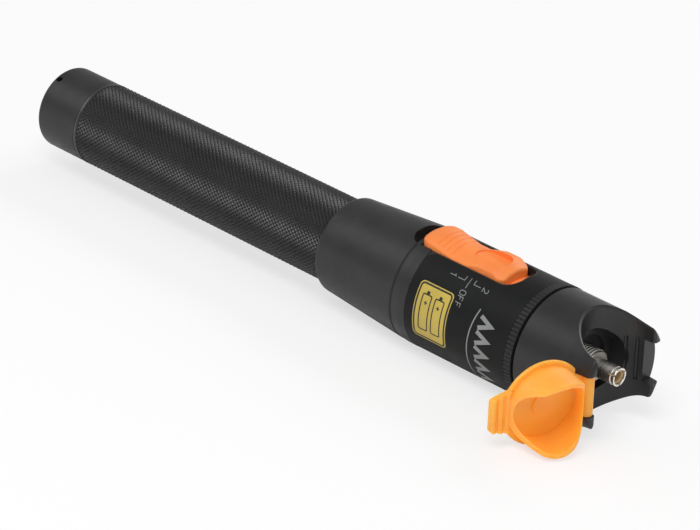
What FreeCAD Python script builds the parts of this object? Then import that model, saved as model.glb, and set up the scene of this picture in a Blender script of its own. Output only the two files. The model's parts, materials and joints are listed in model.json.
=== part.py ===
import FreeCAD, Part
import math
import os
from FreeCAD import Vector

# Visual fault locator: a pen-shaped red laser source for tracing optical fibres.
# A knurled tube holds two cells in line.  A conical sleeve joins it to a wider head with a slide
# switch on top.  The nose shroud has a notch above and below, and two side walls that shelter the
# ferrule port.  A soft cup-shaped dust cap swings about a pin in the near wall; it is drawn open.
#
# Frame, in millimetres: X runs along the pen from the tail face (x = 0) to the nose, and the pen's
# axis is y = z = 0.  Each piece is drawn with the slide button straight up, at +Z, and then rolled
# about the axis by REST_ROLL, because the pen lies on its head and on the rim of the open dust cap.

# ---- lengths along the pen ----
TAIL_CAP_LENGTH = 12.5
SLEEVE_LENGTH = 24.5
HEAD_LENGTH = 34.8
NOSE_LENGTH = 19.7

REST_ROLL = 10.0                # degrees, the button leaning towards the dust cap's side

# ---- outside of the head and nose ----
HEAD_DIAMETER = 26.0
HEAD_WALL = 2.0
SEAM_STEP = 0.15                # of the sleeve's front and the nose below the head's surface
NOSE_TAPER_STEP = 0.55          # of the nose's tip below its rear part
SHOULDER_DIAMETER = 22.0        # rear end of the sleeve's cone

# ---- general fits ----
FIT_GAP = 0.05                  # radial gap of spigots, plugs and other pieces that push together
SEAT_GAP = 0.02                 # gap between faces that seat on each other
SEAM_CHAMFER = 0.3              # bevel on both edges of an outside seam

# ---- cells and battery tube ----
CELL_LENGTH = 49.5              # without the nub
CELL_DIAMETER = 14.3
CELL_NUB_LENGTH = 1.0
CELL_NUB_DIAMETER = 5.5
CELL_REAR_EDGE = 0.5            # radius of its rolled rims
CELL_FRONT_EDGE = 0.8
CELL_NUB_EDGE = 0.3
CELL_SIDE_GAP = 0.45            # round a cell in the tube's bore
CELL_REACH = 19.64              # of the front cell into the sleeve
GRIP_WALL = 2.15
SOCKET_DEPTH = 13.0             # how far the tube's front spigot enters the sleeve
SPIGOT_WALL = 1.3               # of the tube's front spigot

# ---- tail cap ----
TAIL_STEP = 0.05                # of the cap below the grip
TAIL_WALL = 3.0
TAIL_EDGE_RADIUS = 0.9
PLUG_LENGTH = 8.0
PLUG_WALL = 1.2
PLUG_CELL_GAP = 0.25            # round a cell in the plug's cavity
PLUG_END_GAP = 0.5
SEAL_SECTION = 0.8              # wire diameter of the tail seal
SEAL_SETBACK = 1.0              # from the shoulder to the seal's groove
SEAL_SIDE_GAP = 0.15
SEAL_SQUEEZE_GAP = 0.02
EYE_DIAMETER = 1.5              # lanyard eye: a bore in the side meets one in the tail face
EYE_OFFSET = 1.5                # of the side bore from the tail face
EYE_DEPTH = 2.8                 # of the bore in the tail face below the cap's surface
EYE_ANGLE = -24.0               # round the pen from the top, towards -Y

# ---- battery spring ----
SPRING_WIRE = 0.8
SPRING_DIAMETER = 9.0           # to the middle of the wire
SPRING_LENGTH = 6.2
SPRING_TURNS = 4
SPRING_PLATE_THICKNESS = 0.4
SPRING_PLATE_DIAMETER = 12.6

# ---- head and sleeve insides ----
HEAD_SPIGOT_LENGTH = 2.5        # sleeve into head
HEAD_SPIGOT_WALL = 0.95
HEAD_LEAD_LENGTH = 2.2          # short taper from the seam up to the full head diameter
SHOULDER_EDGE_RADIUS = 1.2
TUBE_SEAL_SECTION = 0.7
TUBE_SEAL_SETBACK = 1.6

# ---- label and lock ring ----
LABEL_SETBACK = 4.25
LABEL_THICKNESS = 0.12
LABEL_RECESS = 0.15
LABEL_CORNER_RADIUS = 2.2
LABEL_SLOT_MARGIN = 0.35
LOCK_RING_LENGTH = 1.9
LOCK_RING_WALL = 1.1
LOCK_RING_TEETH = 84
LOCK_RING_TOOTH_DEPTH = 0.2
LOCK_RING_CREST = 0.28          # half width of a tooth's crest, as a share of its pitch
LOCK_RING_FRONT_GAP = 0.4

# ---- slide button and its slot ----
BUTTON_SETBACK = -0.1           # button's rear end from the head's rear seam
BUTTON_LENGTH = 23.9
BUTTON_WIDTH = 9.3
BUTTON_REAR_RADIUS = 3.4        # corners in plan
BUTTON_FRONT_RADIUS = 2.0
BUTTON_PLAN_MARGIN = 0.1        # of the plan outline past each flat end
BUTTON_BASE_DEPTH = 2.4         # underside of the part that fills the slot, below the head's surface
BUTTON_TRAVEL = 2.2             # each way from the middle (off) position
SLOT_SIDE_GAP = 0.22
SLOT_REAR_GAP = 2.8
SLOT_FRONT_GAP = 3.1
SLOT_END_RADIUS = 3.5
BUTTON_CROWN_DEPTH = 8.0        # of the axis that the crowned top is turned about
BUTTON_REAR_RISE = 0.1          # of the top's middle line above the head's surface, end to end
BUTTON_HUMP_RISE = 1.5
BUTTON_SADDLE_RISE = 0.35
BUTTON_LIP_RISE = 1.5
BUTTON_FRONT_RISE = 0.0
BUTTON_HUMP_START = 1.9         # from the rear end
BUTTON_HUMP_END = 4.2
BUTTON_SADDLE_START = 9.8
BUTTON_SADDLE_END = 10.8        # from the front end
BUTTON_LIP_START = 6.6
BUTTON_LIP_END = 2.8
BUTTON_EDGE_RADIUS = 0.6
BUTTON_RIB_COUNT = 4
BUTTON_RIB_PITCH = 1.3
BUTTON_RIB_RADIUS = 0.3
BUTTON_RIB_SINK = 0.14          # of each rib's middle below the slope
BUTTON_RIB_SETBACK = 0.8        # of the first rib from the hump
WELL_LENGTH = 9.0               # thumb well behind the front lip
WELL_WIDTH = 4.6
WELL_FLOOR_RISE = 0.1
WELL_LIP_LENGTH = 1.9
FLANGE_WIDTH = 12.0             # hidden flange that keeps the button in
FLANGE_THICKNESS = 3.0
FLANGE_GAP = 0.15
FLANGE_END_GAP = 0.2

# ---- switch and circuit board ----
BOARD_SETBACK = 0.3             # from the front contact's nose
BOARD_MODULE_GAP = 1.14         # from its front edge to the laser module
BOARD_EDGE_GAP = 1.3            # from its sides to the widest part of the bore
BOARD_THICKNESS = 1.2
BOARD_UNDERSIDE = 0.3
RAIL_HEIGHT = 3.4
RAIL_WIDTH = 4.0                # from the widest part of the bore
RAIL_SINK = 0.5                 # of the rails into the head's wall
BOARD_SCREW_INSET = 2.7         # from the widest part of the bore
BOARD_SCREW_LENGTH = 3.6
BOARD_SCREW_DIAMETER = 1.6
BOARD_SCREW_HEAD_DIAMETER = 2.4
BOARD_SCREW_HEAD_HEIGHT = 0.9
BOARD_SCREW_SETBACK = 3.2       # from the board's front edge
BOARD_SCREW_CROSS = 1.6
BOARD_SCREW_SLOT = 0.3
SWITCH_LENGTH = 10.0
SWITCH_WIDTH = 5.0
SWITCH_HEIGHT = 4.8
SWITCH_POCKET_DEPTH = 1.5
LEVER_SIZE = 2.0
LEVER_SIDE_GAP = 0.2            # at the ends of its travel in the switch
LEVER_REACH = 2.0               # into the button's flange

# ---- front battery contact ----
HOLDER_THICKNESS = 2.5
HOLDER_SETBACK = 0.5            # behind the holder, to the front cell
CONTACT_HEAD_DIAMETER = 6.5
CONTACT_SHANK_DIAMETER = 4.0
CONTACT_NOSE = 0.4

# ---- nose shroud ----
NOSE_SPIGOT_LENGTH = 4.0
NOSE_TAPER_LENGTH = 7.0
NOSE_EDGE_RADIUS = 1.0
NOTCH_RADIUS = 8.9              # upright bore that makes both notches and the port's space
NOTCH_CENTRE_SETBACK = 1.1      # behind the nose's front plane
NOTCH_RIM = 0.45                # bevel round the notch
PORT_RECESS_DIAMETER = 15.4     # stepped recess round the port
PORT_RECESS_SETBACK = 10.8      # of its floor, behind the front plane
PORT_WELL_DIAMETER = 11.8
PORT_WELL_SETBACK = 11.8
PORT_WALL_THICKNESS = 1.5
FAR_GAP_DEPTH = 2.6             # the far wall's gap for the cap's tab
FAR_GAP_HEIGHT = 10.0
NEAR_GAP_DEPTH = 5.0            # the near wall's gap for the cap's knuckle
NEAR_GAP_HEIGHT = 9.6
CATCH_GROOVE_RADIUS = 0.45
CATCH_GROOVE_SETBACKS = (4.1, 6.3)

# ---- laser module ----
MODULE_DIAMETER = 11.0
MODULE_LENGTH = 15.4
MODULE_GAP = 0.1                # from the module's front face to the adapter's flange
DIODE_FLANGE_DIAMETER = 5.6
DIODE_FLANGE_THICKNESS = 1.2
DIODE_CAN_DIAMETER = 4.2
DIODE_CAN_LENGTH = 2.4
DIODE_PIN_DIAMETER = 0.45
DIODE_PIN_SPREAD = 1.27
DIODE_PIN_LENGTH = 3.0
DIODE_SEAT_DEPTH = 2.6
LENS_DIAMETER = 5.8
LENS_THICKNESS = 2.0
LENS_CROWN = 0.7
LENS_POCKET_DEPTH = 7.2
RETAINER_LENGTH = 1.5
RETAINER_BORE_DIAMETER = 4.0
RETAINER_SLOT_WIDTH = 0.6
RETAINER_SLOT_DEPTH = 0.5

# ---- ferrule port ----
PORT_SETBACK = 1.5              # mouth of the port behind the front plane
THREAD_DIAMETER = 7.2
THREAD_SETBACK = 7.6            # front end of the threaded barrel behind the front plane
THREAD_CHAMFER = 0.4
ADAPTER_FLANGE_DIAMETER = 10.6
ADAPTER_FLANGE_THICKNESS = 1.0
ADAPTER_APERTURE_DIAMETER = 2.4
ADAPTER_APERTURE_LENGTH = 1.5
TUBE_DIAMETER = 4.1
TUBE_BORE_DIAMETER = 3.3
TUBE_LIP_LENGTH = 0.6
TUBE_NECK_LENGTH = 0.5
TUBE_NECK_DEPTH = 0.18
TUBE_SLIT_WIDTH = 0.35
TUBE_SLIT_LENGTH = 1.6
FERRULE_DIAMETER = 2.5
FERRULE_FIT_GAP = 0.01
SLEEVE_WALL = 0.35
SLEEVE_SPLIT_WIDTH = 0.5
SLEEVE_MOUTH_SETBACK = 0.7      # split sleeve behind the tube's mouth
SLEEVE_BODY_LENGTH = 9.4

# ---- dust cap ----
CAP_OPEN_ANGLE = 197.3          # from closed to the open rest position
HINGE_SETBACK = 1.64            # hinge axis behind the nose's front plane
HINGE_OFFSET = 9.95             # hinge axis from the pen's axis, towards -Y
HINGE_PIN_DIAMETER = 1.0
HINGE_PIN_LENGTH = 12.4
HINGE_RUNNING_GAP = 0.04
KNUCKLE_DIAMETER = 2.6
KNUCKLE_HEIGHT = 9.3
CAP_FACE_SETBACK = 0.7          # closed cap's inner face behind the front plane
CAP_PLATE_DIAMETER = 19.2
CAP_PLATE_THICKNESS = 1.0
CAP_CUP_DIAMETER = 17.1
CAP_WALL = 1.0
CAP_LOBE_RADIUS = 8.8
CAP_LOBE_SETBACK = -0.1         # centre of the lobes' outline behind the front plane
CAP_BOSS_DIAMETER = 5.2
CAP_BOSS_HEIGHT = 0.5
CAP_TAB_REACH = 12.4            # tab's end from the pen's axis
CAP_TAB_ROOT_HEIGHT = 10.0
CAP_TAB_END_HEIGHT = 7.5
CAP_TAB_RIBS = (8.4, 10.05, 11.7)
CAP_TAB_RIB_RADIUS = 0.75
CAP_TAB_RIB_HEIGHT = 0.5
CAP_SHOULDER_CUT = 7.2          # the plate is trimmed beyond this, above and below the knuckle

# ---- stations, from the tail face ----
SPRING_REAR = TAIL_WALL + SPRING_PLATE_THICKNESS + SEAT_GAP
CELLS_REAR = SPRING_REAR + SPRING_LENGTH
CELLS_FRONT = CELLS_REAR + 2 * (CELL_LENGTH + CELL_NUB_LENGTH) + SEAT_GAP
SLEEVE_REAR = CELLS_FRONT - CELL_REACH
HEAD_REAR = SLEEVE_REAR + SLEEVE_LENGTH
NOSE_REAR = HEAD_REAR + HEAD_LENGTH
NOSE_FRONT = NOSE_REAR + NOSE_LENGTH
PLUG_END = TAIL_CAP_LENGTH + PLUG_LENGTH
SOCKET_END = SLEEVE_REAR + SOCKET_DEPTH
HOLDER_REAR = CELLS_FRONT + HOLDER_SETBACK
BOARD_REAR = HOLDER_REAR + HOLDER_THICKNESS + CONTACT_NOSE + BOARD_SETBACK
BUTTON_REAR = HEAD_REAR + BUTTON_SETBACK
BUTTON_FRONT = BUTTON_REAR + BUTTON_LENGTH
BUTTON_MIDDLE = (BUTTON_REAR + BUTTON_FRONT) / 2
SLOT_REAR = BUTTON_REAR - SLOT_REAR_GAP
SLOT_FRONT = BUTTON_FRONT + SLOT_FRONT_GAP
LABEL_REAR = HEAD_REAR + LABEL_SETBACK
LABEL_FRONT = NOSE_REAR - LOCK_RING_FRONT_GAP - LOCK_RING_LENGTH - SEAT_GAP
PORT_MOUTH = NOSE_FRONT - PORT_SETBACK
PORT_WALL_REAR = NOSE_FRONT - PORT_WELL_SETBACK - PORT_WALL_THICKNESS
ADAPTER_REAR = PORT_WALL_REAR - SEAT_GAP - ADAPTER_FLANGE_THICKNESS
MODULE_FRONT = ADAPTER_REAR - MODULE_GAP
MODULE_REAR = MODULE_FRONT - MODULE_LENGTH
BOARD_FRONT = MODULE_REAR - BOARD_MODULE_GAP
BOARD_TOP = BOARD_UNDERSIDE + BOARD_THICKNESS
FLANGE_REAR = HEAD_REAR + HEAD_SPIGOT_LENGTH + BUTTON_TRAVEL + FLANGE_END_GAP
FLANGE_FRONT = NOSE_REAR - NOSE_SPIGOT_LENGTH - BUTTON_TRAVEL - FLANGE_END_GAP
NOTCH_X = NOSE_FRONT - NOTCH_CENTRE_SETBACK
HINGE_X = NOSE_FRONT - HINGE_SETBACK
CAP_FACE_X = NOSE_FRONT - CAP_FACE_SETBACK

# ---- radii, from the pen's axis ----
CELL_BORE = CELL_DIAMETER / 2 + CELL_SIDE_GAP
GRIP = CELL_BORE + GRIP_WALL
SPIGOT = CELL_BORE + SPIGOT_WALL
PLUG_CAVITY = CELL_DIAMETER / 2 + PLUG_CELL_GAP
PLUG = PLUG_CAVITY + PLUG_WALL
HEAD = HEAD_DIAMETER / 2
HEAD_BORE = HEAD - HEAD_WALL
HEAD_SPIGOT = HEAD_BORE - FIT_GAP
SLEEVE_CAVITY = HEAD_SPIGOT - HEAD_SPIGOT_WALL
SEAM = HEAD - SEAM_STEP
NOSE_TIP = SEAM - NOSE_TAPER_STEP
BUTTON_CROWN_AXIS = HEAD - BUTTON_CROWN_DEPTH
BUTTON_BASE = HEAD - BUTTON_BASE_DEPTH
FLANGE_UNDERSIDE = HEAD_BORE - FLANGE_THICKNESS
LEVER_TOP = FLANGE_UNDERSIDE + LEVER_REACH

AXIS_X = Vector(1, 0, 0)
AXIS_Y = Vector(0, 1, 0)
AXIS_Z = Vector(0, 0, 1)
ORIGIN = Vector(0, 0, 0)


# ---- helpers ----
def outline(corners, place):
    """Closed wire through corners (a, b) or (a, b, radius); a radius rounds that corner."""
    points = [FreeCAD.Vector(c[0], c[1], 0) for c in corners]
    radii = [c[2] if len(c) > 2 else 0.0 for c in corners]
    edges = []
    last = None
    first = None
    count = len(points)
    for i in range(count):
        corner = points[i]
        if radii[i] > 0:
            back = (points[i - 1] - corner).normalize()
            ahead = (points[(i + 1) % count] - corner).normalize()
            half = back.getAngle(ahead) / 2
            reach = radii[i] / math.tan(half)
            start = corner + back * reach
            end = corner + ahead * reach
            inward = (back + ahead).normalize()
            centre = corner + inward * (radii[i] / math.sin(half))
            middle = centre - inward * radii[i]
        else:
            start = corner
            end = corner
        if last is not None and (start - last).Length > 1e-7:
            edges.append(Part.LineSegment(place(last), place(start)).toShape())
        if radii[i] > 0:
            edges.append(Part.Arc(place(start), place(middle), place(end)).toShape())
        if first is None:
            first = start
        last = end
    if (first - last).Length > 1e-7:
        edges.append(Part.LineSegment(place(last), place(first)).toShape())
    return Part.Wire(edges)


def turned(corners, sweep=360.0, start=0.0):
    """Solid turned about the pen's axis from an (x, radius) outline, starting at the bottom line."""
    wire = outline(corners, lambda p: Vector(p.x, 0, -p.y))
    face = Part.Face(wire)
    if start:
        face.rotate(ORIGIN, AXIS_X, start)
    return face.revolve(ORIGIN, AXIS_X, sweep)


def ring(rear, front, inner, outer):
    """Plain tube about the pen's axis."""
    return turned([(rear, inner), (rear, outer), (front, outer), (front, inner)])


def rod(rear, front, radius):
    """Solid cylinder about the pen's axis."""
    return Part.makeCylinder(radius, front - rear, Vector(rear, 0, 0), AXIS_X)


def box(x0, x1, y0, y1, z0, z1):
    return Part.makeBox(x1 - x0, y1 - y0, z1 - z0, Vector(x0, y0, z0))


def upright(radius, x, y, z0, z1):
    """Cylinder parallel to Z."""
    return Part.makeCylinder(radius, z1 - z0, Vector(x, y, z0), AXIS_Z)


def plan_prism(x0, x1, half_width, rear_radius, front_radius, z0, z1):
    """Upright prism with a rounded rectangular plan, centred on the pen."""
    wire = outline([(x0, -half_width, rear_radius), (x1, -half_width, front_radius),
                    (x1, half_width, front_radius), (x0, half_width, rear_radius)],
                   lambda p: Vector(p.x, p.y, z0))
    return Part.Face(wire).extrude(Vector(0, 0, z1 - z0))


def round_seal(x, inner, section):
    """Seal ring of round section, its middle at x and its inside at the given radius."""
    return Part.makeTorus(inner + section / 2, section / 2, Vector(x, 0, 0), AXIS_X)


def slot_prism(margin, z0, z1):
    """The slide button's slot, wider all round by a margin."""
    half_width = BUTTON_WIDTH / 2 + SLOT_SIDE_GAP + margin
    return plan_prism(SLOT_REAR - margin, SLOT_FRONT + margin, half_width,
                      SLOT_END_RADIUS + margin, SLOT_END_RADIUS + margin, z0, z1)


# ---- tail: cap, seal, spring ----
def tail_cap():
    body = GRIP - TAIL_STEP
    groove = PLUG - SEAL_SECTION + FIT_GAP
    groove_rear = TAIL_CAP_LENGTH + SEAL_SETBACK
    groove_front = groove_rear + SEAL_SECTION + 2 * SEAL_SIDE_GAP
    cap = turned([(0, 0), (0, body, TAIL_EDGE_RADIUS),
                  (TAIL_CAP_LENGTH - SEAM_CHAMFER, body), (TAIL_CAP_LENGTH, body - SEAM_CHAMFER),
                  (TAIL_CAP_LENGTH, PLUG), (groove_rear, PLUG), (groove_rear, groove),
                  (groove_front, groove), (groove_front, PLUG), (PLUG_END, PLUG),
                  (PLUG_END, PLUG_CAVITY), (TAIL_WALL, PLUG_CAVITY), (TAIL_WALL, 0)])
    side_bore = upright(EYE_DIAMETER / 2, EYE_OFFSET, 0, body - EYE_DEPTH, 2 * body)
    end_bore = rod(-1, EYE_OFFSET, EYE_DIAMETER / 2)
    end_bore.translate(Vector(0, 0, body - EYE_DEPTH))
    eye = side_bore.fuse(end_bore)
    eye.rotate(ORIGIN, AXIS_X, -EYE_ANGLE)
    return cap.cut(eye)


def tail_seal():
    inside = PLUG - SEAL_SECTION + FIT_GAP + SEAL_SQUEEZE_GAP
    middle = TAIL_CAP_LENGTH + SEAL_SETBACK + SEAL_SIDE_GAP + SEAL_SECTION / 2
    return round_seal(middle, inside, SEAL_SECTION - SEAL_SQUEEZE_GAP)


def battery_spring():
    pitch = (SPRING_LENGTH - SPRING_WIRE) / SPRING_TURNS
    helix = Part.makeHelix(pitch, pitch * SPRING_TURNS, SPRING_DIAMETER / 2)
    section = Part.Wire(Part.makeCircle(SPRING_WIRE / 2, Vector(SPRING_DIAMETER / 2, 0, 0), AXIS_Y))
    coil = Part.Wire(helix).makePipeShell([section], True, False)
    coil.rotate(ORIGIN, AXIS_Y, 90)
    coil.translate(Vector(SPRING_REAR + SPRING_WIRE / 2, 0, 0))
    return coil


def spring_plate():
    rear = TAIL_WALL + SEAT_GAP / 2
    return ring(rear, rear + SPRING_PLATE_THICKNESS, SPRING_DIAMETER / 4, SPRING_PLATE_DIAMETER / 2)


# ---- battery tube and cells ----
def battery_tube():
    mouth = PLUG + FIT_GAP
    mouth_end = PLUG_END + PLUG_END_GAP
    groove = SPIGOT - TUBE_SEAL_SECTION + FIT_GAP
    groove_rear = SLEEVE_REAR + TUBE_SEAL_SETBACK
    groove_front = groove_rear + TUBE_SEAL_SECTION + 2 * SEAL_SIDE_GAP
    rear = TAIL_CAP_LENGTH + SEAT_GAP
    front = SOCKET_END - SEAT_GAP
    return turned([(rear, mouth), (rear, GRIP - SEAM_CHAMFER), (rear + SEAM_CHAMFER, GRIP),
                   (SLEEVE_REAR, GRIP), (SLEEVE_REAR, SPIGOT), (groove_rear, SPIGOT),
                   (groove_rear, groove), (groove_front, groove), (groove_front, SPIGOT),
                   (front, SPIGOT), (front, CELL_BORE), (mouth_end, CELL_BORE), (mouth_end, mouth)])


def cell(rear):
    nub_rear = rear + CELL_LENGTH
    return turned([(rear, 0), (rear, CELL_DIAMETER / 2, CELL_REAR_EDGE),
                   (nub_rear, CELL_DIAMETER / 2, CELL_FRONT_EDGE),
                   (nub_rear, CELL_NUB_DIAMETER / 2),
                   (nub_rear + CELL_NUB_LENGTH, CELL_NUB_DIAMETER / 2, CELL_NUB_EDGE),
                   (nub_rear + CELL_NUB_LENGTH, 0)])


def tube_seal():
    inside = SPIGOT - TUBE_SEAL_SECTION + FIT_GAP + SEAL_SQUEEZE_GAP
    middle = SLEEVE_REAR + TUBE_SEAL_SETBACK + SEAL_SIDE_GAP + TUBE_SEAL_SECTION / 2
    return round_seal(middle, inside, TUBE_SEAL_SECTION - SEAL_SQUEEZE_GAP)


# ---- sleeve and head ----
def rear_sleeve():
    socket = SPIGOT + FIT_GAP
    rear = SLEEVE_REAR + SEAT_GAP
    front = HEAD_REAR + HEAD_SPIGOT_LENGTH
    ledge = HOLDER_REAR - SEAT_GAP
    shell = turned([(rear, socket), (rear, SHOULDER_DIAMETER / 2, SHOULDER_EDGE_RADIUS),
                    (HEAD_REAR - SEAM_CHAMFER, SEAM), (HEAD_REAR, SEAM - SEAM_CHAMFER),
                    (HEAD_REAR, HEAD_SPIGOT), (front, HEAD_SPIGOT), (front, SLEEVE_CAVITY),
                    (ledge, SLEEVE_CAVITY), (ledge, CELL_BORE), (SOCKET_END, CELL_BORE),
                    (SOCKET_END, socket)])
    return shell.cut(slot_prism(0, HEAD / 2, 2 * HEAD))


def head_housing():
    recess = HEAD - LABEL_RECESS
    ring_seat = HEAD - LOCK_RING_WALL
    rear = HEAD_REAR + SEAT_GAP
    front = NOSE_REAR - SEAT_GAP
    shell = turned([(rear, HEAD_BORE), (rear, SEAM - SEAM_CHAMFER), (rear + SEAM_CHAMFER, SEAM),
                    (rear + HEAD_LEAD_LENGTH, HEAD), (LABEL_REAR, HEAD), (LABEL_REAR, recess),
                    (LABEL_FRONT, recess), (LABEL_FRONT, ring_seat), (front, ring_seat),
                    (front, HEAD_BORE)])
    outer = HEAD_BORE + RAIL_SINK
    inner = HEAD_BORE - RAIL_WIDTH
    rails = box(HEAD_REAR + HEAD_SPIGOT_LENGTH + SEAT_GAP, BOARD_FRONT, -outer, outer,
                BOARD_UNDERSIDE - RAIL_HEIGHT, BOARD_UNDERSIDE - SEAT_GAP)
    rails = rails.cut(box(HEAD_REAR, NOSE_REAR, -inner, inner, -HEAD, HEAD))
    rails = rails.common(rod(HEAD_REAR, NOSE_REAR, outer))
    shell = shell.fuse(rails).removeSplitter()
    for x, y in board_screw_places():
        shell = shell.cut(upright(BOARD_SCREW_DIAMETER / 2 + SEAT_GAP, x, y,
                                  BOARD_TOP - BOARD_SCREW_LENGTH, BOARD_UNDERSIDE))
    return shell.cut(slot_prism(0, HEAD / 2, 2 * HEAD))


def board_screw_places():
    x = BOARD_FRONT - BOARD_SCREW_SETBACK
    y = HEAD_BORE - BOARD_SCREW_INSET
    return [(x, -y), (x, y)]


def label_wrap():
    inner = HEAD - LABEL_RECESS
    skin = ring(LABEL_REAR + SEAT_GAP, LABEL_FRONT - SEAT_GAP, inner, inner + LABEL_THICKNESS)
    window = slot_prism(LABEL_SLOT_MARGIN, 0, 2 * HEAD)
    # The label stops short behind the button, with a rounded corner on each side of the slot.
    corner = LABEL_REAR + LABEL_CORNER_RADIUS
    half = BUTTON_WIDTH / 2 + SLOT_SIDE_GAP + LABEL_SLOT_MARGIN + LABEL_CORNER_RADIUS
    strip = box(SLOT_REAR, corner, -half, half, 0, 2 * HEAD)
    for side in (-1, 1):
        strip = strip.cut(upright(LABEL_CORNER_RADIUS, corner, side * half, 0, 2 * HEAD))
    return skin.cut(window).cut(strip)


def lock_ring():
    inner = HEAD - LOCK_RING_WALL + FIT_GAP
    rear = LABEL_FRONT + SEAT_GAP
    valley = HEAD - LOCK_RING_TOOTH_DEPTH
    step = 2 * math.pi / LOCK_RING_TEETH
    rim = []
    for i in range(LOCK_RING_TEETH):
        for share, radius in ((-LOCK_RING_CREST, HEAD), (LOCK_RING_CREST, HEAD), (0.5, valley)):
            angle = (i + share) * step
            rim.append(Vector(rear, radius * math.sin(angle), radius * math.cos(angle)))
    rim.append(rim[0])
    toothed = Part.Face(Part.makePolygon(rim)).extrude(Vector(LOCK_RING_LENGTH, 0, 0))
    return toothed.cut(rod(rear - 1, rear + LOCK_RING_LENGTH + 1, inner))


# ---- slide button and switch ----
def slide_button():
    hump = HEAD + BUTTON_HUMP_RISE
    saddle = HEAD + BUTTON_SADDLE_RISE
    lip = HEAD + BUTTON_LIP_RISE
    slope_rear = BUTTON_REAR + BUTTON_HUMP_END
    slope_front = BUTTON_REAR + BUTTON_SADDLE_START
    crown = crowned([(BUTTON_REAR, BUTTON_BASE), (BUTTON_REAR, HEAD + BUTTON_REAR_RISE, 1.0),
                     (BUTTON_REAR + BUTTON_HUMP_START, hump, 2.0), (slope_rear, hump, 3.0),
                     (slope_front, saddle, 4.0), (BUTTON_FRONT - BUTTON_SADDLE_END, saddle, 4.0),
                     (BUTTON_FRONT - BUTTON_LIP_START, lip, 4.0),
                     (BUTTON_FRONT - BUTTON_LIP_END, lip, 2.0),
                     (BUTTON_FRONT, HEAD + BUTTON_FRONT_RISE, 0.8), (BUTTON_FRONT, BUTTON_BASE)])
    plan = plan_prism(BUTTON_REAR - BUTTON_PLAN_MARGIN, BUTTON_FRONT + BUTTON_PLAN_MARGIN,
                      BUTTON_WIDTH / 2, BUTTON_REAR_RADIUS, BUTTON_FRONT_RADIUS, 0, 2 * HEAD)
    body = round_top_edge(crown.common(plan))
    slope = (saddle - hump) / (slope_front - slope_rear)
    rib_half = BUTTON_WIDTH / 2 - BUTTON_EDGE_RADIUS
    for i in range(BUTTON_RIB_COUNT):
        along = BUTTON_RIB_SETBACK + i * BUTTON_RIB_PITCH
        x = slope_rear + along
        height = hump + slope * along - BUTTON_RIB_SINK
        bead = Part.makeTorus(height - BUTTON_CROWN_AXIS, BUTTON_RIB_RADIUS,
                              Vector(x, 0, BUTTON_CROWN_AXIS), AXIS_X)
        body = body.fuse(bead.common(box(x - 1, x + 1, -rib_half, rib_half, BUTTON_BASE, 2 * HEAD)))
    well_front = BUTTON_FRONT - WELL_LIP_LENGTH
    well_round = WELL_WIDTH / 2 - FIT_GAP
    body = body.cut(plan_prism(well_front - WELL_LENGTH, well_front, WELL_WIDTH / 2, well_round,
                               well_round, HEAD + WELL_FLOOR_RISE, 2 * HEAD))
    # The flange slides under the head's wall and keeps the button in its slot.
    flange = box(FLANGE_REAR, FLANGE_FRONT, -FLANGE_WIDTH / 2, FLANGE_WIDTH / 2,
                 FLANGE_UNDERSIDE, HEAD)
    flange = flange.common(rod(0, NOSE_FRONT, HEAD_BORE - FLANGE_GAP))
    body = body.fuse(flange).removeSplitter()
    half = LEVER_SIZE / 2 + FIT_GAP
    return body.cut(box(BUTTON_MIDDLE - half, BUTTON_MIDDLE + half, -half, half,
                        FLANGE_UNDERSIDE - 1, LEVER_TOP + FIT_GAP))


def crowned(profile):
    """Solid under an (x, height) profile, crowned by turning it about the crown's own axis."""
    face = Part.Face(outline(profile, lambda p: Vector(p.x, 0, p.y)))
    centre = Vector(0, 0, BUTTON_CROWN_AXIS)
    face.rotate(centre, AXIS_X, -60)
    return face.revolve(centre, AXIS_X, 120)


def round_top_edge(body):
    """Round the rim where the button's crowned top meets its upright sides."""
    rim = []
    for edge in body.Edges:
        middle = edge.valueAt((edge.FirstParameter + edge.LastParameter) / 2)
        on_side = abs(abs(middle.y) - BUTTON_WIDTH / 2) < 0.01
        if on_side and middle.z > BUTTON_BASE + 1 and edge.BoundBox.XLength > 0.01:
            rim.append(edge)
    return body.makeFillet(BUTTON_EDGE_RADIUS, rim)


def circuit_board():
    half = HEAD_BORE - BOARD_EDGE_GAP
    board = box(BOARD_REAR, BOARD_FRONT, -half, half, BOARD_UNDERSIDE, BOARD_TOP)
    for x, y in board_screw_places():
        board = board.cut(upright(BOARD_SCREW_DIAMETER / 2 + FIT_GAP, x, y,
                                  BOARD_UNDERSIDE - 1, BOARD_TOP + 1))
    return board


def board_screws():
    seat = BOARD_TOP + SEAT_GAP
    crown = seat + BOARD_SCREW_HEAD_HEIGHT
    arm = BOARD_SCREW_CROSS / 2
    slit = BOARD_SCREW_SLOT / 2
    screws = []
    for x, y in board_screw_places():
        head = upright(BOARD_SCREW_HEAD_DIAMETER / 2, x, y, seat, crown)
        shank = upright(BOARD_SCREW_DIAMETER / 2, x, y, seat - BOARD_SCREW_LENGTH + SEAT_GAP, seat)
        floor = crown - BOARD_SCREW_HEAD_HEIGHT / 2
        cross = box(x - arm, x + arm, y - slit, y + slit, floor, crown + 1)
        cross = cross.fuse(box(x - slit, x + slit, y - arm, y + arm, floor, crown + 1))
        screws.append(head.fuse(shank).removeSplitter().cut(cross))
    return Part.makeCompound(screws)


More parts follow.
